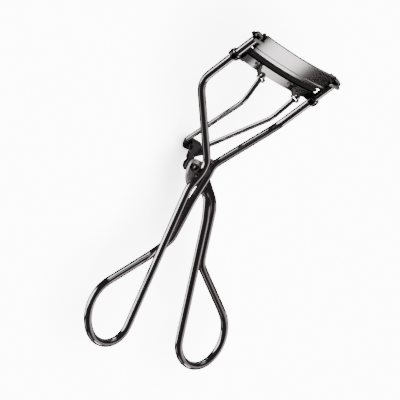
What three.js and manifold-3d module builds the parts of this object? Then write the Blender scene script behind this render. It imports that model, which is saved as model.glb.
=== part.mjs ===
// Eyelash curler: a wire frame with one finger loop, a second finger loop pivoted across it, and a
// crank, link and push rod that drive a padded lower jaw up two rails against a curved upper plate.
// Millimetres. The origin is on the main pivot's axis, at its rivet's front end; +Y runs along the
// curler towards its head, +X is the head's width and +Z is the pivot's axis, out of the front.
import * as THREE from "three";
import { mergeVertices } from "three/addons/utils/BufferGeometryUtils.js";
import Module from "manifold-3d";

const wasm = await Module();
wasm.setup();

// Driving dimensions
const WIRE = 2.5; // diameter of the frame's and the handle's wire
const ROD = 1.6; // diameter of the push rod's wire
const GAP = 0.3; // clearance between pieces that touch
const STRAND = 1.3; // half the distance between the frame's two strands at the pivot

// Head: two rails that lean forward from the arms
const HEAD_LEAN = 40; // degrees from the handles' plane up to the rails
const HEAD_Y = 22.4; // height of the bend between the lower arms and the head
const RAIL_X = 17.3; // half the distance between the rails
const ARM_X = 17.2; // half the distance between the arms at the bend
const RAIL_TOP = 24.7; // height of the rails' tips above the bend, along the rails
const ARC_DEPTH = 1.3; // how far the middle of the head's curve stands forward of its ends
const ARC_HALF = 15.4; // half the curve's chord
const ARC_RADIUS = (ARC_HALF ** 2 + ARC_DEPTH ** 2) / (2 * ARC_DEPTH);
const FRONT_N = 0.9; // the curve's chord, in front of the rails' centres
const PLATE_LOW = 20; // the upper plate's face, along the rails
const PLATE_HIGH = 25.9;
const LIP_DROP = 0.3; // how far the rolled lip hangs below the plate's face
const EAR_HIGH = RAIL_TOP - 0.9; // top of the plate's ears, that the rails pass through
const JAW_LOW = 14.3; // the lower jaw's channel, along the rails
const JAW_HIGH = 17.2;
const PAD_HIGH = 18.6; // the pad's crown, when open
const SHEET = 0.8; // thickness of the jaw's sheet
const LUG_LOW = JAW_LOW - 0.4; // the jaw's ends, that carry the eyelets
const LUG_RADIUS = 1.95;
const EYELET_BORE = 1.33;
const EYELET_OUTER = 1.52;
const EYELET_FLANGE = 1.8;

// Pivot, crank and link
const CRANK = new THREE.Vector2(-4.5, -0.8); // centre of the link's rivet
const CRANK_BACK = -2.75; // back face of the crank plate
const CRANK_THICK = 1.2;
const CRANK_FRONT = CRANK_BACK + CRANK_THICK;
const WASHER = 0.5;
const PIVOT_BORE = 1.1;
const PIVOT_SHANK = 1;
const PIVOT_HEAD = 1.9;
const PIVOT_FRONT = WIRE / 2 - 0.2; // flat front end of the pivot's rivet
const LINK_BORE = 0.85;
const LINK_SHANK = 0.75;
const LINK_THICK = 1;
const LINK_EAR = 1.75; // radius of the link's ear behind the crank
const PIN_BALL = 1.15; // radius of the ball on the link's pin
const EYE_RADIUS = 2;
const EYE_BORE = 1.15;
const EYE_HALF = 2;

// Push rod
const CROSSBAR = new THREE.Vector3(0, 5.8, -11.6); // centre of the crossbar in the link's eye
const CROSSBAR_HALF = 3.2;
const ROD_TOP = { x: 7.6, r: 14.3, n: 4.7 }; // upper ends, in the head's frame
const ROD_BEND = { x: 6.3, r: 5.9, n: 6.75 }; // bends, in the head's frame
const BALL_RADIUS = 1.05;
const SOCKET_BORE = 1.15; // rings on the jaw, under the balls, that the rod's ends turn in
const SOCKET_RADIUS = 1.55;
const SOCKET_HIGH = JAW_LOW + 0.7;

// The finger loops, drawn in a frame whose v runs down the handle and u runs away from the other one
const LOOP = {
  innerU: 3.65,
  straightEnd: 52.1,
  tipRadius: 7.6,
  tipTurn: 129,
  sideRadius: 11.1,
  sideTurn: 92,
};
const FIXED_SPLAY = -2.9; // degrees that the fixed handle leans away from -Y
const MOVING_SPLAY = 17.8; // degrees that the moving handle leans away, when open

const finishes = {
  steel: { color: 0x575151, roughness: 0.16, metalness: 1 },
  dark_steel: { color: 0x3c3839, roughness: 0.25, metalness: 1 },
  silicone: { color: 0x1b1a1b, roughness: 0.6, metalness: 0 },
};

const curler = new THREE.Group();
curler.position.z = -PIVOT_FRONT; // the origin is on the pivot rivet's flat front end
const head = new THREE.Group(); // x across, y up the rails, z out of the plate's front
head.position.set(0, HEAD_Y, 0);
head.rotation.x = THREE.MathUtils.degToRad(HEAD_LEAN);
head.updateMatrix();
curler.add(head);

function addPiece(group, name, geometry, finish) {
  const mesh = new THREE.Mesh(geometry, new THREE.MeshStandardMaterial(finishes[finish]));
  mesh.name = name;
  group.add(mesh);
}

// A point given in the head's frame, in the curler's frame.
function fromHead(x, r, n) {
  return new THREE.Vector3(x, r, n).applyMatrix4(head.matrix);
}

// manifold-3d bridge: geometry to solid and back
function toSolid(geometry) {
  const bare = geometry.clone();
  bare.deleteAttribute("normal");
  bare.deleteAttribute("uv");
  const merged = mergeVertices(bare, 1e-4);
  return new wasm.Manifold(
    new wasm.Mesh({
      numProp: 3,
      vertProperties: new Float32Array(merged.attributes.position.array),
      triVerts: new Uint32Array(merged.index.array),
    }),
  );
}

function toGeometry(solid) {
  const mesh = solid.getMesh();
  const geometry = new THREE.BufferGeometry();
  geometry.setAttribute("position", new THREE.BufferAttribute(mesh.vertProperties, 3));
  geometry.setIndex(new THREE.BufferAttribute(mesh.triVerts, 1));
  return geometry;
}

function join(...geometries) {
  return toGeometry(geometries.map(toSolid).reduce((sum, solid) => sum.add(solid)));
}

function cut(geometry, ...tools) {
  return toGeometry(tools.map(toSolid).reduce((rest, tool) => rest.subtract(tool), toSolid(geometry)));
}

// A path through the points, each inner corner rounded with its own radius (or the last entry's).
function roundedPath(points, radii) {
  const path = new THREE.CurvePath();
  let from = points[0];
  for (let i = 1; i < points.length - 1; i++) {
    const corner = points[i];
    const back = points[i - 1].clone().sub(corner);
    const ahead = points[i + 1].clone().sub(corner);
    const half = back.angleTo(ahead) / 2;
    const reach = Math.min(radii[i - 1] / Math.tan(half), 0.49 * back.length(), 0.49 * ahead.length());
    const start = corner.clone().addScaledVector(back.normalize(), reach);
    const end = corner.clone().addScaledVector(ahead.normalize(), reach);
    path.add(new THREE.LineCurve3(from, start));
    path.add(new THREE.QuadraticBezierCurve3(start, corner, end));
    from = end;
  }
  path.add(new THREE.LineCurve3(from, points[points.length - 1]));
  return path;
}

function circleShape(radius, sides) {
  const shape = new THREE.Shape();
  for (let i = 0; i < sides; i++) {
    const angle = (2 * Math.PI * (i + 0.5)) / sides;
    const x = radius * Math.cos(angle);
    const y = radius * Math.sin(angle);
    if (i === 0) shape.moveTo(x, y);
    else shape.lineTo(x, y);
  }
  shape.closePath();
  return shape;
}

// Round wire of the given diameter along a path.
function wire(path, diameter, sides, step) {
  return new THREE.ExtrudeGeometry(circleShape(diameter / 2, sides), {
    steps: Math.round(path.getLength() / step),
    bevelEnabled: false,
    extrudePath: path,
  });
}

function disc(radius, low, high, x = 0, y = 0, sides = 32) {
  const geometry = new THREE.CylinderGeometry(radius, radius, high - low, sides);
  return geometry.rotateX(Math.PI / 2).translate(x, y, (low + high) / 2);
}

// Points of a finger loop from its inner straight, round its tip and up its outer side.
function loopPoints(splay, side, startV) {
  const { innerU, straightEnd, tipRadius, tipTurn, sideRadius, sideTurn } = LOOP;
  const rad = THREE.MathUtils.degToRad;
  const local = [new THREE.Vector2(innerU, startV)];
  const tipCentre = new THREE.Vector2(innerU + tipRadius, straightEnd);
  const arc = (centre, radius, from, to, count) => {
    for (let i = 0; i <= count; i++) {
      const turn = rad(from + ((to - from) * i) / count);
      local.push(
        new THREE.Vector2(centre.x - radius * Math.cos(turn), centre.y + radius * Math.sin(turn)),
      );
    }
  };
  arc(tipCentre, tipRadius, 0, tipTurn, 12);
  const tipEnd = rad(tipTurn);
  const sideCentre = new THREE.Vector2(
    tipCentre.x + (sideRadius - tipRadius) * Math.cos(tipEnd),
    tipCentre.y - (sideRadius - tipRadius) * Math.sin(tipEnd),
  );
  arc(sideCentre, sideRadius, tipTurn + 8, tipTurn + sideTurn, 10);
  return local.map((p) => handlePoint(p.x, p.y, 0, splay, side));
}

// A point u across and v down a handle that leans by the splay angle, on the given side.
function handlePoint(u, v, z, splay, side) {
  const lean = THREE.MathUtils.degToRad(splay);
  const across = u * Math.cos(lean) + v * Math.sin(lean);
  const down = v * Math.cos(lean) - u * Math.sin(lean);
  return new THREE.Vector3(side * across, -down, z);
}

// Frame: one wire from the left rail's tip, past the pivot, round the fixed finger loop, back past
// the pivot and up to the right rail's tip. The strands are brazed together at the pivot's bore.
function frameWire() {
  const strand = (u, v, z = 0) => handlePoint(u, v, z, FIXED_SPLAY, -1);
  const points = [
    fromHead(-RAIL_X, RAIL_TOP, 0),
    new THREE.Vector3(-ARM_X, HEAD_Y, 0),
    new THREE.Vector3(-STRAND, 2.4, 0),
    new THREE.Vector3(-STRAND, -1.4, 0),
    strand(LOOP.innerU, 7),
    ...loopPoints(FIXED_SPLAY, -1, 30),
    new THREE.Vector3(-3.2, -30.1, -2.6),
    new THREE.Vector3(1, -23, -1.9),
    new THREE.Vector3(-0.3, -16.6, 0.1),
    new THREE.Vector3(-0.1, -9.7, 0.2),
    new THREE.Vector3(STRAND, -1.6, 0),
    new THREE.Vector3(STRAND, 2.4, 0),
    new THREE.Vector3(ARM_X, HEAD_Y, 0),
    fromHead(RAIL_X, RAIL_TOP, 0),
  ];
  const radii = points.slice(1, -1).map(() => 3);
  radii[0] = 7;
  radii[radii.length - 1] = 7;
  const braze = new THREE.BoxGeometry(2 * STRAND, 3.4, 1.7);
  const body = join(wire(roundedPath(points, radii), WIRE, 10, 1.8), braze);
  return cut(body, disc(PIVOT_BORE, -WIRE, WIRE));
}

// Moving handle: the second finger loop, whose two strands bend across behind the frame and end on
// the crank plate.
function movingHandle() {
  const strand = (u, v, z = 0) => handlePoint(u, v, z, MOVING_SPLAY, 1);
  const behind = CRANK_FRONT - WIRE / 2;
  const outerU = LOOP.innerU + 2.45;
  const points = [
    new THREE.Vector3(-1.2, -2.6, behind),
    new THREE.Vector3(2.2, -4.3, behind),
    new THREE.Vector3(5.1, -6, -1.7),
    new THREE.Vector3(5.6, -7.7, -0.2),
    strand(LOOP.innerU, 15),
    ...loopPoints(MOVING_SPLAY, 1, 24),
    strand(outerU, 28.5, -0.8),
    strand(outerU, 14, -0.8),
    new THREE.Vector3(9.4, -9.2, -0.8),
    new THREE.Vector3(7.8, -6.6, -0.9),
    new THREE.Vector3(4.6, -3.5, -2),
    new THREE.Vector3(2.9, -1.5, behind),
    new THREE.Vector3(0.4, 0.2, behind),
  ];
  const radii = points.slice(1, -1).map(() => 4);
  const body = join(wire(roundedPath(points, radii), WIRE, 10, 1.8), crankPlate());
  return cut(
    body,
    disc(PIVOT_BORE, -2 * WIRE, WIRE),
    disc(LINK_BORE, -2 * WIRE, WIRE, CRANK.x, CRANK.y),
  );
}

function crankPlate() {
  const leaf = new THREE.Shape();
  leaf.moveTo(-5.4, -0.8);
  leaf.quadraticCurveTo(-5.4, 1.9, -3.3, 1.9);
  leaf.lineTo(-1.2, 1.9);
  leaf.lineTo(1.9, 4.3);
  leaf.lineTo(3.3, 2.2);
  leaf.lineTo(2.8, -2);
  leaf.lineTo(0.8, -5.2);
  leaf.lineTo(-2.5, -6.5);
  leaf.quadraticCurveTo(-5.4, -4.2, -5.4, -0.8);
  const plate = new THREE.ExtrudeGeometry(leaf, {
    depth: CRANK_THICK,
    bevelEnabled: false,
    curveSegments: 6,
  });
  return plate.translate(0, 0, CRANK_BACK);
}

// Link: a flat ear behind the crank, a strap that leans back and a rolled eye for the crossbar.
function linkBracket() {
  const low = CRANK_BACK - GAP - LINK_THICK;
  const ear = disc(LINK_EAR, low, low + LINK_THICK, CRANK.x, CRANK.y, 24);
  const sheet = new THREE.ExtrudeGeometry(strapProfile(low), { depth: 9, bevelEnabled: false });
  // the profile's x is the curler's y and its y is the curler's z, so its depth runs along x
  sheet.applyMatrix4(new THREE.Matrix4().makeBasis(
    new THREE.Vector3(0, 1, 0),
    new THREE.Vector3(0, 0, 1),
    new THREE.Vector3(1, 0, 0),
  ));
  sheet.translate(CRANK.x - LINK_EAR, 0, 0);
  const column = new THREE.ExtrudeGeometry(strapOutline(), { depth: 16, bevelEnabled: false });
  column.translate(0, 0, -15);
  const strap = toGeometry(toSolid(sheet).intersect(toSolid(column)));
  const across = (radius, length) => {
    const roller = new THREE.CylinderGeometry(radius, radius, length, 24);
    return roller.rotateZ(Math.PI / 2).translate(CROSSBAR.x, CROSSBAR.y, CROSSBAR.z);
  };
  return cut(
    join(strap, ear, across(EYE_RADIUS, 2 * EYE_HALF)),
    across(EYE_BORE, 4 * EYE_HALF),
    disc(LINK_BORE, -2 * WIRE, WIRE, CRANK.x, CRANK.y),
  );
}

// The strap seen from the side: flat on the ear, then leaning back to the eye.
function strapProfile(low) {
  const bend = CRANK.y + 1.4;
  const profile = new THREE.Shape();
  profile.moveTo(bend - 0.7, low);
  profile.lineTo(bend - 0.7, low + LINK_THICK);
  profile.lineTo(bend + 0.2, low + LINK_THICK);
  profile.lineTo(CROSSBAR.y + EYE_RADIUS - 0.05, CROSSBAR.z + 0.4);
  profile.lineTo(CROSSBAR.y + EYE_RADIUS - LINK_THICK, CROSSBAR.z);
  profile.lineTo(bend, low);
  profile.closePath();
  return profile;
}

// The strap seen from the front: as wide as the ear, then narrowing to the eye.
function strapOutline() {
  const outline = new THREE.Shape();
  outline.moveTo(CRANK.x - LINK_EAR, CRANK.y);
  outline.lineTo(CRANK.x + LINK_EAR, CRANK.y);
  outline.lineTo(CRANK.x + LINK_EAR, CRANK.y + 2.9);
  outline.lineTo(EYE_HALF, CROSSBAR.y - 1.5);
  outline.lineTo(EYE_HALF, CROSSBAR.y + 3);
  outline.lineTo(-EYE_HALF, CROSSBAR.y + 3);
  outline.lineTo(-EYE_HALF, CROSSBAR.y - 0.5);
  outline.lineTo(CRANK.x - 1.1, CRANK.y + 2.3);
  outline.closePath();
  return outline;
}

// Rivets: profiles of radius and height turned about the rivet's axis
function turned(profile, x, y, sides = 32) {
  const points = profile.map(([radius, height]) => new THREE.Vector2(radius, height));
  return new THREE.LatheGeometry(points, sides).rotateX(Math.PI / 2).translate(x, y, 0);
}

// The upper part of a ball, from where it meets a shank up to its top.
function ballProfile(radius, shank, centre, steps) {
  const start = -Math.acos(shank / radius);
  const points = [];
  for (let i = 0; i < steps; i++) {
    const angle = start + (i / steps) * (Math.PI / 2 - start);
    points.push([radius * Math.cos(angle), centre + radius * Math.sin(angle)]);
  }
  return [...points, [0, centre + radius]];
}

function pivotRivet() {
  const back = CRANK_FRONT - WIRE - GAP - WASHER - GAP;
  return turned(
    [
      [0, back - 0.8],
      [PIVOT_HEAD - 0.4, back - 0.8],
      [PIVOT_HEAD, back - 0.4],
      [PIVOT_HEAD, back],
      [PIVOT_SHANK, back],
      [PIVOT_SHANK, PIVOT_FRONT],
      [0, PIVOT_FRONT],
    ],
    0,
    0,
  );
}

function pivotWasher() {
  const high = CRANK_FRONT - WIRE - GAP;
  return cut(disc(2.1, high - WASHER, high), disc(PIVOT_BORE, -4 * WIRE, WIRE));
}

// Ball-headed pin with a shoulder, through the crank and the link's ear
function linkRivet() {
  const earBack = CRANK_BACK - GAP - LINK_THICK;
  const shoulder = CRANK_FRONT + GAP;
  return turned(
    [
      [0, earBack - GAP - 0.6],
      [1, earBack - GAP - 0.6],
      [1.3, earBack - GAP - 0.3],
      [1.3, earBack - GAP],
      [LINK_SHANK, earBack - GAP],
      [LINK_SHANK, shoulder],
      [PIN_BALL, shoulder],
      [PIN_BALL, shoulder + 0.4],
      ...ballProfile(PIN_BALL, LINK_SHANK, shoulder + 1.8, 8),
    ],
    CRANK.x,
    CRANK.y,
  );
}

// Push rod: one wire bent into a U, through the link's eye, with a ball on each upper end.
function pushRod() {
  const half = (side) => [
    fromHead(side * ROD_TOP.x, ROD_TOP.r, ROD_TOP.n),
    fromHead(side * ROD_BEND.x, ROD_BEND.r, ROD_BEND.n),
    new THREE.Vector3(side * CROSSBAR_HALF, CROSSBAR.y, CROSSBAR.z),
  ];
  const points = [...half(-1), ...half(1).reverse()];
  return wire(roundedPath(points, [6, 0.8, 0.8, 6]), ROD, 8, 1.3);
}

// Centre of a ball, in the head's frame: in line with the rod's upper end, just clear of it.
function ballCentre(side) {
  const top = new THREE.Vector3(side * ROD_TOP.x, ROD_TOP.r, ROD_TOP.n);
  const bend = new THREE.Vector3(side * ROD_BEND.x, ROD_BEND.r, ROD_BEND.n);
  const along = top.clone().sub(bend).normalize();
  return top.addScaledVector(along, GAP + BALL_RADIUS);
}

function rodBall(side) {
  const centre = ballCentre(side);
  return new THREE.SphereGeometry(BALL_RADIUS, 20, 12).translate(centre.x, centre.y, centre.z);
}

// A bar along the head's curve (x across, n forward) from one offset to another in front of the
// curve's chord, extruded up the rails.
function arcBand(nearN, farN, halfWidth, low, high) {
  const segments = 16;
  const edge = (n, sign) => {
    const points = [];
    for (let i = 0; i <= segments; i++) {
      const x = sign * halfWidth * ((2 * i) / segments - 1);
      points.push([x, n + ARC_DEPTH - ARC_RADIUS + Math.sqrt(ARC_RADIUS ** 2 - x ** 2)]);
    }
    return points;
  };
  const band = new THREE.Shape();
  const points = [...edge(nearN, 1), ...edge(farN, -1)];
  band.moveTo(...points[0]);
  points.slice(1).forEach(([x, n]) => band.lineTo(x, n));
  band.closePath();
  const geometry = new THREE.ExtrudeGeometry(band, { depth: high - low, bevelEnabled: false });
  // the shape's y is the head's forward direction, and its depth runs up the rails
  geometry.applyMatrix4(new THREE.Matrix4().makeBasis(
    new THREE.Vector3(-1, 0, 0),
    new THREE.Vector3(0, 0, 1),
    new THREE.Vector3(0, 1, 0),
  ));
  return geometry.translate(0, low, 0);
}

// A box that starts at one x and ends at another on the given side of the head.
function sideBox(side, x0, x1, r0, r1, n0, n1) {
  const geometry = new THREE.BoxGeometry(x1 - x0, r1 - r0, n1 - n0);
  return geometry.translate((side * (x0 + x1)) / 2, (r0 + r1) / 2, (n0 + n1) / 2);
}

function railCylinder(side, radius, low, high, sides = 24) {
  const geometry = new THREE.CylinderGeometry(radius, radius, high - low, sides);
  return geometry.translate(side * RAIL_X, (low + high) / 2, 0);
}

// A ring of the given profile, turned about a rail.
function railRing(side, profile) {
  const points = profile.map(([radius, height]) => new THREE.Vector2(radius, height));
  return new THREE.LatheGeometry(points, 24).translate(side * RAIL_X, 0, 0);
}

const sides = [-1, 1];

// Upper plate: a curved face with a rolled lip, ends turned back and an ear round each rail.
function upperPlate() {
  const face = arcBand(FRONT_N - 0.9, FRONT_N, ARC_HALF, PLATE_LOW, PLATE_HIGH);
  const lip = arcBand(
    FRONT_N - 1.3,
    FRONT_N + 0.3,
    ARC_HALF,
    PLATE_LOW - LIP_DROP,
    PLATE_LOW + 0.7,
  );
  const ends = sides.map((side) =>
    sideBox(side, ARC_HALF - 0.9, ARC_HALF, PLATE_LOW + 0.2, PLATE_HIGH - 1, -1.7, FRONT_N - 0.4),
  );
  const ears = sides.map((side) =>
    sideBox(side, ARC_HALF - 0.5, RAIL_X + 1.6, EAR_HIGH - 1, EAR_HIGH, -1.6, 1.6),
  );
  const bores = sides.map((side) => railCylinder(side, EYELET_BORE, EAR_HIGH - 2, RAIL_TOP));
  return cut(join(face, lip, ...ends, ...ears), ...bores);
}

// Riveted cap that holds the plate's ear on the rail's tip
function railCap(side) {
  const low = EAR_HIGH + 0.1;
  return railRing(side, [
    [EYELET_BORE, low],
    [1.6, low],
    [1.6, RAIL_TOP - 0.3],
    [EYELET_BORE, RAIL_TOP],
    [EYELET_BORE, low],
  ]);
}

// Lower jaw: a channel along the head's curve, with a lug round each rail and a ring in front
// for each of the push rod's ends.
function lowerJaw() {
  const half = ARC_HALF - 0.3;
  const back = FRONT_N - 2.8;
  const floor = arcBand(back, FRONT_N, half, JAW_LOW, JAW_LOW + SHEET);
  const front = arcBand(FRONT_N - SHEET, FRONT_N, half, JAW_LOW, JAW_HIGH);
  const rear = arcBand(back, back + SHEET, half, JAW_LOW, JAW_HIGH);
  const lugs = sides.map((side) => railCylinder(side, LUG_RADIUS, LUG_LOW, LUG_LOW + SHEET));
  const bridges = sides.map((side) =>
    sideBox(side, half - 1.4, RAIL_X - 0.6, LUG_LOW, LUG_LOW + SHEET, -1.7, FRONT_N),
  );
  const lugBores = sides.map((side) =>
    railCylinder(side, EYELET_OUTER + 0.06, LUG_LOW - 1, JAW_HIGH),
  );
  const roundRod = (side, radius, low, high) => {
    const roller = new THREE.CylinderGeometry(radius, radius, high - low, 24);
    return roller.translate(side * ROD_TOP.x, (low + high) / 2, ROD_TOP.n);
  };
  const sockets = sides.map((side) => roundRod(side, SOCKET_RADIUS, JAW_LOW, SOCKET_HIGH));
  const socketBores = sides.map((side) => roundRod(side, SOCKET_BORE, JAW_LOW - 1, JAW_HIGH));
  const tongues = sides.map((side) =>
    sideBox(
      side,
      ROD_TOP.x - 0.8,
      ROD_TOP.x + 0.8,
      JAW_LOW,
      SOCKET_HIGH,
      FRONT_N + 0.5,
      ROD_TOP.n - SOCKET_BORE,
    ),
  );
  return cut(
    join(floor, front, rear, ...lugs, ...bridges, ...sockets, ...tongues),
    ...lugBores,
    ...socketBores,
  );
}

// Pad: a root held in the jaw's channel and a wider crown above it.
function lashPad() {
  const half = ARC_HALF - 0.7;
  const rootBack = FRONT_N - 2.8 + SHEET + 0.1;
  const rootLow = JAW_LOW + SHEET + 0.2;
  const root = arcBand(rootBack, FRONT_N - SHEET - 0.1, half, rootLow, JAW_HIGH + 0.2);
  const crown = arcBand(FRONT_N - 2.4, FRONT_N - 0.4, half, JAW_HIGH + 0.2, PAD_HIGH);
  return join(root, crown);
}

// Eyelets: flanged bushes in the jaw's lugs, running on the rails
function jawEyelet(side) {
  const flange = 0.4;
  const bottom = LUG_LOW - GAP - flange;
  const top = LUG_LOW + SHEET + GAP + flange;
  return railRing(side, [
    [EYELET_BORE, bottom],
    [EYELET_FLANGE, bottom],
    [EYELET_FLANGE, bottom + flange],
    [EYELET_OUTER, bottom + flange],
    [EYELET_OUTER, top - flange],
    [EYELET_FLANGE, top - flange],
    [EYELET_FLANGE, top],
    [EYELET_BORE, top],
    [EYELET_BORE, bottom],
  ]);
}

addPiece(curler, "frame_wire", frameWire(), "steel");
addPiece(curler, "moving_handle", movingHandle(), "steel");
addPiece(curler, "pivot_rivet", pivotRivet(), "dark_steel");
addPiece(curler, "pivot_washer", pivotWasher(), "dark_steel");
addPiece(curler, "link_bracket", linkBracket(), "dark_steel");
addPiece(curler, "link_rivet", linkRivet(), "steel");
addPiece(curler, "push_rod", pushRod(), "steel");
addPiece(head, "upper_plate", upperPlate(), "steel");
addPiece(head, "lower_jaw", lowerJaw(), "steel");
addPiece(head, "lash_pad", lashPad(), "silicone");
for (const side of sides) {
  const word = side < 0 ? "left" : "right";
  addPiece(head, `rod_ball_${word}`, rodBall(side), "steel");
  addPiece(head, `rail_cap_${word}`, railCap(side), "steel");
  addPiece(head, `jaw_eyelet_${word}`, jawEyelet(side), "dark_steel");
}

export default curler;
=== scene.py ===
"""Looks for the eyelash curler: smooth wires, bevelled plates, plated metal, a pale floor, studio light."""

import math

import bmesh
import bpy
from mathutils import Matrix, Vector


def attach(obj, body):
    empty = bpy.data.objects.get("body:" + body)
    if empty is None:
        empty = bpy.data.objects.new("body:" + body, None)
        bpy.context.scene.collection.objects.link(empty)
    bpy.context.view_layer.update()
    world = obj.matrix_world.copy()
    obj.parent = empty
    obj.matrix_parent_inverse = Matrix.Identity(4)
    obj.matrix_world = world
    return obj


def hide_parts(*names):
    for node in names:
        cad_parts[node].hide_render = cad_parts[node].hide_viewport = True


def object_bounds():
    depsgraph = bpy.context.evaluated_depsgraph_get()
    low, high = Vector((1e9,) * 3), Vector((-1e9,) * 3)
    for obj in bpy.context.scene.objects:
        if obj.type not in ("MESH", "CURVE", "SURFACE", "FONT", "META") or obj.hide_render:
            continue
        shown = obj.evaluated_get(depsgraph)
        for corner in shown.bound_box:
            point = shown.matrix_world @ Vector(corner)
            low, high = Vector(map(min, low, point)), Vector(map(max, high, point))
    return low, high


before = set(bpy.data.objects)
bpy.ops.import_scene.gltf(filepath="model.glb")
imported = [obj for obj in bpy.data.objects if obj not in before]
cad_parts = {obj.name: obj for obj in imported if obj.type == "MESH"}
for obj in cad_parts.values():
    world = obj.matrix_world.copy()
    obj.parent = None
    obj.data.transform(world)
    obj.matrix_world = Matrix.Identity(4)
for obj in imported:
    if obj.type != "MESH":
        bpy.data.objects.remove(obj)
cad_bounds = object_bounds()

MM = 0.001
PIVOT_FRONT = 1.05  # mm from the wires' plane up to the origin

# Wires, in mm, with z counted from the wires' plane
WIRE = 2.5
ROD = 1.6
STRAND = 1.3
HEAD_LEAN = math.radians(40)
HEAD_Y = 22.4
RAIL_X = 17.3
ARM_X = 17.2
RAIL_TOP = 24.7
CRANK_BACK = -2.75
CRANK_THICK = 1.2
BEHIND = CRANK_BACK + CRANK_THICK - WIRE / 2  # height of the moving strands where they end
CROSSBAR = (3.2, 5.8, -11.6)
ROD_TOP = (7.6, 14.3, 4.7)
ROD_BEND = (6.3, 5.9, 6.75)

# Finger loops
INNER_U = 3.65
STRAIGHT_END = 52.1
TIP_RADIUS = 7.6
TIP_TURN = 129
SIDE_RADIUS = 11.1
SIDE_TURN = 92
FIXED_SPLAY = -2.9
MOVING_SPLAY = 17.8

# Surfaces
PAINTED_END_SHADE = 0.14  # painted shade: what is left of the colour at a sheet's ends, darkened in place of their dark reflection
WIRE_STEP = 0.55
ROD_STEP = 0.4

# Studio
CAMERA_DISTANCE = 1.4286
CAMERA_LENS = 430.6
FLOOR_TONE = 0.93
FLOOR_GAP = 0.0002
SUN_STRENGTH = 42.0
AMBIENT = (0.03, 0.028, 0.028)
WHITE = (1.0, 1.0, 1.0)
WARM = (1.0, 0.97, 0.98)
LILAC = (1.0, 0.90, 0.95)


# ---------------------------------------------------------------- shapes

def from_head(x, r, n):
    """A point in the head's frame (across, up the rails, forward), in the curler's frame, in mm."""
    c, s = math.cos(HEAD_LEAN), math.sin(HEAD_LEAN)
    return Vector((x, HEAD_Y + r * c - n * s, r * s + n * c))


def handle_point(u, v, z, splay, side):
    """A point u across and v down a finger loop that leans outwards by the splay, in mm."""
    lean = math.radians(splay)
    across = u * math.cos(lean) + v * math.sin(lean)
    down = v * math.cos(lean) - u * math.sin(lean)
    return Vector((side * across, -down, z))


def loop_points(splay, side, start_v):
    """A finger loop from its inner straight, round its tip and up its outer side."""
    local = [(INNER_U, start_v)]

    def arc(cx, cy, radius, first, last, count):
        for i in range(count + 1):
            turn = math.radians(first + (last - first) * i / count)
            local.append((cx - radius * math.cos(turn), cy + radius * math.sin(turn)))

    tip_x = INNER_U + TIP_RADIUS
    arc(tip_x, STRAIGHT_END, TIP_RADIUS, 0, TIP_TURN, 26)
    end = math.radians(TIP_TURN)
    side_x = tip_x + (SIDE_RADIUS - TIP_RADIUS) * math.cos(end)
    side_y = STRAIGHT_END - (SIDE_RADIUS - TIP_RADIUS) * math.sin(end)
    arc(side_x, side_y, SIDE_RADIUS, TIP_TURN + 4, TIP_TURN + SIDE_TURN, 20)
    return [handle_point(u, v, 0, splay, side) for u, v in local]


def rounded(points, radii):
    """The path through the points with each inner corner rounded by its radius."""
    path = [points[0]]
    for i in range(1, len(points) - 1):
        corner = points[i]
        back = points[i - 1] - corner
        ahead = points[i + 1] - corner
        half = back.angle(ahead) / 2
        if half > math.radians(86):
            path.append(corner)
            continue
        reach = min(radii[i - 1] / math.tan(half), 0.49 * back.length, 0.49 * ahead.length)
        start = corner + back.normalized() * reach
        end = corner + ahead.normalized() * reach
        for k in range(11):
            t = k / 10
            path.append(start * (1 - t) ** 2 + corner * 2 * t * (1 - t) + end * t ** 2)
    path.append(points[-1])
    return path


def even(path, step):
    """The same path in even steps, with its corners eased."""
    lengths = [0.0]
    for a, b in zip(path, path[1:]):
        lengths.append(lengths[-1] + (b - a).length)
    count = max(2, round(lengths[-1] / step))
    points = []
    k = 0
    for i in range(count + 1):
        target = lengths[-1] * i / count
        while k < len(path) - 2 and lengths[k + 1] < target:
            k += 1
        span = max(lengths[k + 1] - lengths[k], 1e-9)
        points.append(path[k].lerp(path[k + 1], (target - lengths[k]) / span))
    for _ in range(6):
        inner = [
            points[i] * 0.5 + (points[i - 1] + points[i + 1]) * 0.25
            for i in range(1, len(points) - 1)
        ]
        points = [points[0]] + inner + [points[-1]]
    return points


def new_object(name, bm, offset=Vector((0, 0, -PIVOT_FRONT))):
    """A mesh in mm becomes an object in metres in the curler's frame."""
    bmesh.ops.transform(bm, matrix=Matrix.Scale(MM, 4) @ Matrix.Translation(offset), verts=bm.verts)
    bmesh.ops.recalc_face_normals(bm, faces=bm.faces)
    mesh = bpy.data.meshes.new(name)
    bm.to_mesh(mesh)
    bm.free()
    for face in mesh.polygons:
        face.use_smooth = True
    obj = bpy.data.objects.new(name, mesh)
    bpy.context.scene.collection.objects.link(obj)
    return obj


def add_tube(bm, path, radius, sides=40):
    """A round wire with softened ends, added to the mesh."""
    tangent = (path[1] - path[0]).normalized()
    normal = tangent.orthogonal().normalized()
    rings = []
    last = len(path) - 1
    stations = [(0, 0.0, 0.75), (0, 0.12, 0.95)]
    stations += [(i, 0.0, 1.0) for i in range(1, last)]
    stations += [(last, -0.12, 0.95), (last, 0.0, 0.75)]
    for index, slide, scale in stations:
        before = path[max(index - 1, 0)]
        after = path[min(index + 1, last)]
        direction = (after - before).normalized()
        normal = (normal - direction * normal.dot(direction)).normalized()
        other = direction.cross(normal)
        centre = path[index] + direction * slide
        ring = []
        for k in range(sides):
            angle = 2 * math.pi * k / sides
            spoke = normal * math.cos(angle) + other * math.sin(angle)
            ring.append(bm.verts.new(centre + spoke * radius * scale))
        rings.append(ring)
    for a, b in zip(rings, rings[1:]):
        for k in range(sides):
            bm.faces.new((a[k], a[(k + 1) % sides], b[(k + 1) % sides], b[k]))
    bm.faces.new(rings[0])
    bm.faces.new(rings[-1])


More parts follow.
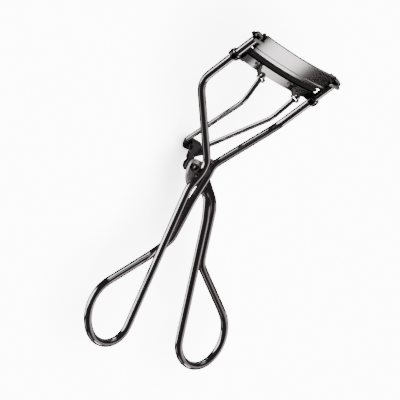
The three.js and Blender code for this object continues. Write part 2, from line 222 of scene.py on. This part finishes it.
def add_prism(bm, outline, low, high):
    """A flat plate with the given outline, added to the mesh."""
    bottom = [bm.verts.new((x, y, low)) for x, y in outline]
    top = [bm.verts.new((x, y, high)) for x, y in outline]
    bm.faces.new(bottom[::-1])
    bm.faces.new(top)
    for k in range(len(outline)):
        m = (k + 1) % len(outline)
        bm.faces.new((bottom[k], bottom[m], top[m], top[k]))


def bevel(obj, width, segments=3, angle=30):
    """Softens the edges sharper than the angle, and keeps the flat faces flat in reflections."""
    modifier = obj.modifiers.new("edges", "BEVEL")
    modifier.width = width * MM
    modifier.segments = segments
    modifier.limit_method = "ANGLE"
    modifier.angle_limit = math.radians(angle)
    modifier.use_clamp_overlap = True
    weighted = obj.modifiers.new("flat faces", "WEIGHTED_NORMAL")
    weighted.keep_sharp = True


def by_angle(obj, degrees):
    """Smooth shading, except across edges sharper than the angle."""
    mesh = obj.data
    bm = bmesh.new()
    bm.from_mesh(mesh)
    for edge in bm.edges:
        edge.smooth = len(edge.link_faces) == 2 and edge.calc_face_angle() < math.radians(degrees)
    bm.to_mesh(mesh)
    bm.free()


def from_cad(node, width, angle=35):
    """A copy of a CAD node with merged faces and softened edges."""
    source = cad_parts[node]
    bm = bmesh.new()
    bm.from_mesh(source.data)
    bmesh.ops.transform(bm, matrix=source.matrix_world, verts=bm.verts)
    bmesh.ops.remove_doubles(bm, verts=bm.verts, dist=2e-6)
    bmesh.ops.dissolve_limit(bm, angle_limit=math.radians(1), verts=bm.verts, edges=bm.edges)
    mesh = bpy.data.meshes.new(node + "_look")
    bm.to_mesh(mesh)
    bm.free()
    for face in mesh.polygons:
        face.use_smooth = True
    obj = bpy.data.objects.new(node + "_look", mesh)
    bpy.context.scene.collection.objects.link(obj)
    by_angle(obj, angle)
    if width:
        bevel(obj, width, 2, angle)
    return obj


# ---------------------------------------------------------------- materials

def metal(name, colour, roughness, shade=0.10, rough_spread=0.02, grain=300.0, ends=None):
    """Plated metal whose colour and roughness drift a little over the surface.

    With ends, the colour falls to nearly black between those two distances from the middle: painted shade
    that stands in for the dark reflection at a sheet's ends.
    """
    material = bpy.data.materials.new(name)
    material.use_nodes = True
    nodes = material.node_tree.nodes
    links = material.node_tree.links
    shader = nodes["Principled BSDF"]
    shader.inputs["Metallic"].default_value = 1.0
    place = nodes.new("ShaderNodeTexCoord")
    broad = nodes.new("ShaderNodeTexNoise")
    broad.inputs["Scale"].default_value = 60.0
    broad.inputs["Detail"].default_value = 3.0
    links.new(place.outputs["Object"], broad.inputs["Vector"])
    ramp = nodes.new("ShaderNodeValToRGB")
    ramp.color_ramp.elements[0].position = 0.3
    ramp.color_ramp.elements[0].color = (*[c * (1 - shade) for c in colour], 1)
    ramp.color_ramp.elements[1].position = 0.7
    ramp.color_ramp.elements[1].color = (*[min(1, c * (1 + shade)) for c in colour], 1)
    links.new(broad.outputs["Fac"], ramp.inputs["Fac"])
    # Painted shade: the colour is darkened towards the sheet's ends, in place of the dark reflection there.
    if ends:
        parts = nodes.new("ShaderNodeSeparateXYZ")
        links.new(place.outputs["Object"], parts.inputs["Vector"])
        distance = nodes.new("ShaderNodeMath")
        distance.operation = "ABSOLUTE"
        links.new(parts.outputs["X"], distance.inputs[0])
        painted_shade_fade = nodes.new("ShaderNodeMapRange")
        painted_shade_fade.interpolation_type = "SMOOTHSTEP"
        painted_shade_fade.inputs["From Min"].default_value = ends[0] * MM
        painted_shade_fade.inputs["From Max"].default_value = ends[1] * MM
        painted_shade_fade.inputs["To Min"].default_value = 1.0
        painted_shade_fade.inputs["To Max"].default_value = PAINTED_END_SHADE
        links.new(distance.outputs["Value"], painted_shade_fade.inputs["Value"])
        painted_shade_colour = nodes.new("ShaderNodeVectorMath")
        painted_shade_colour.operation = "SCALE"
        links.new(ramp.outputs["Color"], painted_shade_colour.inputs[0])
        links.new(painted_shade_fade.outputs["Result"], painted_shade_colour.inputs["Scale"])
        links.new(painted_shade_colour.outputs["Vector"], shader.inputs["Base Color"])
    else:
        links.new(ramp.outputs["Color"], shader.inputs["Base Color"])
    fine = nodes.new("ShaderNodeTexNoise")
    fine.inputs["Scale"].default_value = grain
    fine.inputs["Detail"].default_value = 4.0
    links.new(place.outputs["Object"], fine.inputs["Vector"])
    spread = nodes.new("ShaderNodeMapRange")
    spread.inputs["To Min"].default_value = max(0.02, roughness - rough_spread)
    spread.inputs["To Max"].default_value = roughness + rough_spread
    links.new(fine.outputs["Fac"], spread.inputs["Value"])
    links.new(spread.outputs["Result"], shader.inputs["Roughness"])
    return material


def rubber(name):
    """Matt black silicone with a faint mottle."""
    material = bpy.data.materials.new(name)
    material.use_nodes = True
    nodes = material.node_tree.nodes
    links = material.node_tree.links
    shader = nodes["Principled BSDF"]
    shader.inputs["Roughness"].default_value = 0.6
    shader.inputs["Specular IOR Level"].default_value = 0.15
    noise = nodes.new("ShaderNodeTexNoise")
    noise.inputs["Scale"].default_value = 500.0
    ramp = nodes.new("ShaderNodeValToRGB")
    ramp.color_ramp.elements[0].color = (0.0010, 0.0010, 0.0011, 1)
    ramp.color_ramp.elements[1].color = (0.0026, 0.0025, 0.0026, 1)
    links.new(noise.outputs["Fac"], ramp.inputs["Fac"])
    links.new(ramp.outputs["Color"], shader.inputs["Base Color"])
    return material


plated = metal("plated_wire", (0.56, 0.525, 0.53), 0.08)
# The plate and the jaw carry painted shade: their colour darkens towards their ends.
plate_steel_painted_ends = metal("plated_plate_painted_end_shade", (0.66, 0.625, 0.625), 0.14, rough_spread=0.01, ends=(13.0, 16.0))
jaw_steel_painted_ends = metal("plated_jaw_painted_end_shade", (0.42, 0.40, 0.40), 0.16, rough_spread=0.01, ends=(10.0, 13.5))
satin = metal("satin_sheet", (0.84, 0.79, 0.80), 0.42)
dark = metal("dark_sheet", (0.12, 0.11, 0.113), 0.18)
silicone = rubber("black_silicone")


def finish_piece(obj, body, slot, material, *nodes):
    """Gives the piece its material and its body, and hides the CAD nodes it stands for; the slot is not
    used.
    """
    obj.data.materials.clear()
    obj.data.materials.append(material)
    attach(obj, body)
    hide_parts(*nodes)


# ---------------------------------------------------------------- frame wire

def fixed_strand(u, v, z=0.0):
    return handle_point(u, v, z, FIXED_SPLAY, -1)


frame_points = [
    from_head(-RAIL_X, RAIL_TOP, 0),
    Vector((-ARM_X, HEAD_Y, 0)),
    Vector((-STRAND, 2.4, 0)),
    Vector((-STRAND, -1.4, 0)),
    fixed_strand(INNER_U, 7),
    *loop_points(FIXED_SPLAY, -1, 30),
    Vector((-3.2, -30.1, -2.6)),
    Vector((1, -23, -1.9)),
    Vector((-0.3, -16.6, 0.1)),
    Vector((-0.1, -9.7, 0.2)),
    Vector((STRAND, -1.6, 0)),
    Vector((STRAND, 2.4, 0)),
    Vector((ARM_X, HEAD_Y, 0)),
    from_head(RAIL_X, RAIL_TOP, 0),
]
frame_radii = [3.0] * (len(frame_points) - 2)
frame_radii[0] = 7.0
frame_radii[-1] = 7.0
bm = bmesh.new()
add_tube(bm, even(rounded(frame_points, frame_radii), WIRE_STEP), WIRE / 2)
frame_wire = new_object("frame_wire_smooth", bm)
bm = bmesh.new()
braze_half = STRAND - 0.05
add_prism(
    bm,
    [(-braze_half, -1.7), (braze_half, -1.7), (braze_half, 1.7), (-braze_half, 1.7)],
    -0.85,
    0.85,
)
braze = new_object("pivot_braze", bm)
bevel(braze, 0.15)

# ---------------------------------------------------------------- moving handle

def moving_strand(u, v, z=0.0):
    return handle_point(u, v, z, MOVING_SPLAY, 1)


outer_u = INNER_U + 2.45
moving_points = [
    Vector((-1.2, -2.6, BEHIND)),
    Vector((2.2, -4.3, BEHIND)),
    Vector((5.1, -6, -1.7)),
    Vector((5.6, -7.7, -0.2)),
    moving_strand(INNER_U, 15),
    *loop_points(MOVING_SPLAY, 1, 24),
    moving_strand(outer_u, 28.5, -0.8),
    moving_strand(outer_u, 14, -0.8),
    Vector((9.4, -9.2, -0.8)),
    Vector((7.8, -6.6, -0.9)),
    Vector((4.6, -3.5, -2)),
    Vector((2.9, -1.5, BEHIND)),
    Vector((0.4, 0.2, BEHIND)),
]
bm = bmesh.new()
moving_radii = [4.0] * (len(moving_points) - 2)
add_tube(bm, even(rounded(moving_points, moving_radii), WIRE_STEP), WIRE / 2)
moving_wire = new_object("moving_handle_smooth", bm)


def curve_between(a, control, b, count=8):
    """Points of a plane curve from a to b, without a itself."""
    points = []
    for i in range(1, count + 1):
        t = i / count
        points.append(tuple(
            a[k] * (1 - t) ** 2 + 2 * control[k] * t * (1 - t) + b[k] * t ** 2 for k in range(2)
        ))
    return points


leaf = [(-5.4, -0.8)]
leaf += curve_between((-5.4, -0.8), (-5.4, 1.9), (-3.3, 1.9))
leaf += [(-1.2, 1.9), (1.9, 4.3), (3.3, 2.2), (2.8, -2), (0.8, -5.2), (-2.5, -6.5)]
leaf += curve_between((-2.5, -6.5), (-5.4, -4.2), (-5.4, -0.8))[:-1]
bm = bmesh.new()
add_prism(bm, leaf, CRANK_BACK, CRANK_BACK + CRANK_THICK)
crank_leaf = new_object("crank_leaf", bm)
by_angle(crank_leaf, 35)
bevel(crank_leaf, 0.25)

# ---------------------------------------------------------------- push rod

rod_points = []
for side in (-1, 1):
    half = [
        from_head(side * ROD_TOP[0], ROD_TOP[1], ROD_TOP[2]),
        from_head(side * ROD_BEND[0], ROD_BEND[1], ROD_BEND[2]),
        Vector((side * CROSSBAR[0], CROSSBAR[1], CROSSBAR[2])),
    ]
    rod_points += half if side < 0 else half[::-1]
bm = bmesh.new()
add_tube(bm, even(rounded(rod_points, [6, 1.2, 1.2, 6]), ROD_STEP), ROD / 2, 28)
push_rod = new_object("push_rod_smooth", bm)

# ---------------------------------------------------------------- pieces on their bodies

finish_piece(frame_wire, "frame", "steel", plated, "frame_wire")
finish_piece(braze, "frame", "steel", dark, "frame_wire")
finish_piece(moving_wire, "handle", "steel", plated, "moving_handle")
finish_piece(crank_leaf, "handle", "steel", satin, "moving_handle")
finish_piece(push_rod, "rod", "steel", plated, "push_rod")
for node, body, slot, material, width in (
    ("pivot_rivet", "frame", "dark_steel", dark, 0.12),
    ("pivot_washer", "frame", "dark_steel", dark, 0.08),
    ("upper_plate", "frame", "steel", plate_steel_painted_ends, 0.12),
    ("rail_cap_left", "frame", "steel", dark, 0.08),
    ("rail_cap_right", "frame", "steel", dark, 0.08),
    ("link_rivet", "handle", "steel", dark, 0),
    ("link_bracket", "link", "dark_steel", dark, 0.15),
    ("lower_jaw", "jaw", "steel", jaw_steel_painted_ends, 0.06),
    ("jaw_eyelet_left", "jaw", "dark_steel", plated, 0.08),
    ("jaw_eyelet_right", "jaw", "dark_steel", plated, 0.08),
    ("lash_pad", "jaw", "silicone", silicone, 0.25),
    ("rod_ball_left", "rod", "steel", plated, 0),
    ("rod_ball_right", "rod", "steel", plated, 0),
):
    finish_piece(from_cad(node, width), body, slot, material, node)

# ---------------------------------------------------------------- studio

RIGHT = Vector((0.6741, 0.4388, 0.5942)).normalized()
UP = Vector((-0.3795, 0.8959, -0.2311)).normalized()
BACK = RIGHT.cross(UP).normalized()
UP = BACK.cross(RIGHT)

camera_data = bpy.data.cameras.new("camera")
camera_data.lens = CAMERA_LENS
camera_data.sensor_width = 36
camera_data.clip_end = 50
camera = bpy.data.objects.new("camera", camera_data)
bpy.context.scene.collection.objects.link(camera)
spot = BACK * CAMERA_DISTANCE - RIGHT * 0.001959 - UP * 0.008728 - Vector((0, 0, PIVOT_FRONT * MM))
camera.matrix_world = Matrix.Translation(spot) @ Matrix((RIGHT, UP, BACK)).transposed().to_4x4()
bpy.context.scene.camera = camera

bm = bmesh.new()
bmesh.ops.create_grid(bm, x_segments=2, y_segments=2, size=20)
floor_mesh = bpy.data.meshes.new("floor")
bm.to_mesh(floor_mesh)
bm.free()
floor = bpy.data.objects.new("floor", floor_mesh)
floor.location.z = cad_bounds[0][2] - FLOOR_GAP
bpy.context.scene.collection.objects.link(floor)
floor_material = bpy.data.materials.new("pale_floor")
floor_material.use_nodes = True
floor_shader = floor_material.node_tree.nodes["Principled BSDF"]
floor_shader.inputs["Base Color"].default_value = (FLOOR_TONE, FLOOR_TONE, FLOOR_TONE, 1)
floor_shader.inputs["Roughness"].default_value = 0.9
floor_mesh.materials.append(floor_material)
floor.visible_glossy = False
floor.visible_shadow = False

sun_data = bpy.data.lights.new("overhead", "SUN")
sun_data.energy = SUN_STRENGTH
sun_data.angle = math.radians(80)
sun = bpy.data.objects.new("overhead", sun_data)
sun.visible_glossy = False
bpy.context.scene.collection.objects.link(sun)

# Softboxes are patches of a dark studio's sky: direction, inner and outer half angle, colour, strength
world = bpy.data.worlds.new("studio")
world.use_nodes = True
bpy.context.scene.world = world
tree = world.node_tree
background = tree.nodes["Background"]
coordinate = tree.nodes.new("ShaderNodeTexCoord")


def patch(direction, inner, outer, colour, strength, total):
    """Adds a soft-edged bright disc of the sky to the total, and returns the new total."""
    toward = tree.nodes.new("ShaderNodeVectorMath")
    toward.operation = "DOT_PRODUCT"
    toward.inputs[1].default_value = direction.normalized()
    tree.links.new(coordinate.outputs["Generated"], toward.inputs[0])
    edge = tree.nodes.new("ShaderNodeMapRange")
    edge.interpolation_type = "SMOOTHSTEP"
    edge.inputs["From Min"].default_value = math.cos(math.radians(outer))
    edge.inputs["From Max"].default_value = math.cos(math.radians(inner))
    tree.links.new(toward.outputs["Value"], edge.inputs["Value"])
    glow = tree.nodes.new("ShaderNodeMix")
    glow.data_type = "RGBA"
    glow.inputs[6].default_value = (0, 0, 0, 1)
    glow.inputs[7].default_value = (*[c * strength for c in colour], 1)
    tree.links.new(edge.outputs["Result"], glow.inputs[0])
    add = tree.nodes.new("ShaderNodeVectorMath")
    add.operation = "ADD"
    tree.links.new(glow.outputs[2], add.inputs[0])
    if total is None:
        add.inputs[1].default_value = AMBIENT
    else:
        tree.links.new(total.outputs[0], add.inputs[1])
    return add


def seen(turn, angle):
    """The direction at the angle from the camera's own, on the picture's side at the turn, in degrees."""
    side = RIGHT * math.cos(math.radians(turn)) + UP * math.sin(math.radians(turn))
    return BACK * math.cos(math.radians(angle)) + side * math.sin(math.radians(angle))


total = None
for direction, inner, outer, colour, strength in (
    (seen(148, 64), 16, 28, WHITE, 5.0),
    (seen(177, 84), 7, 16, WHITE, 3.4),
    (seen(-150, 82), 6, 16, WHITE, 0.5),
    (seen(76, 84), 6, 13, WHITE, 3.4),
    (seen(41, 66), 5, 14, WHITE, 0.6),
    (seen(-18, 97), 5, 13, LILAC, 1.0),
    (seen(-38, 82), 14, 30, (1.0, 0.92, 0.95), 0.40),
    (seen(-108, 84), 5, 20, WARM, 0.35),
    (seen(-74, 91), 6, 13, WARM, 3.4),
    (seen(180, 140), 14, 34, (1.0, 0.97, 0.97), 0.12),
    (seen(35, 130), 14, 34, (1.0, 0.92, 0.95), 0.25),
):
    total = patch(direction, inner, outer, colour, strength, total)
tree.links.new(total.outputs[0], background.inputs["Color"])
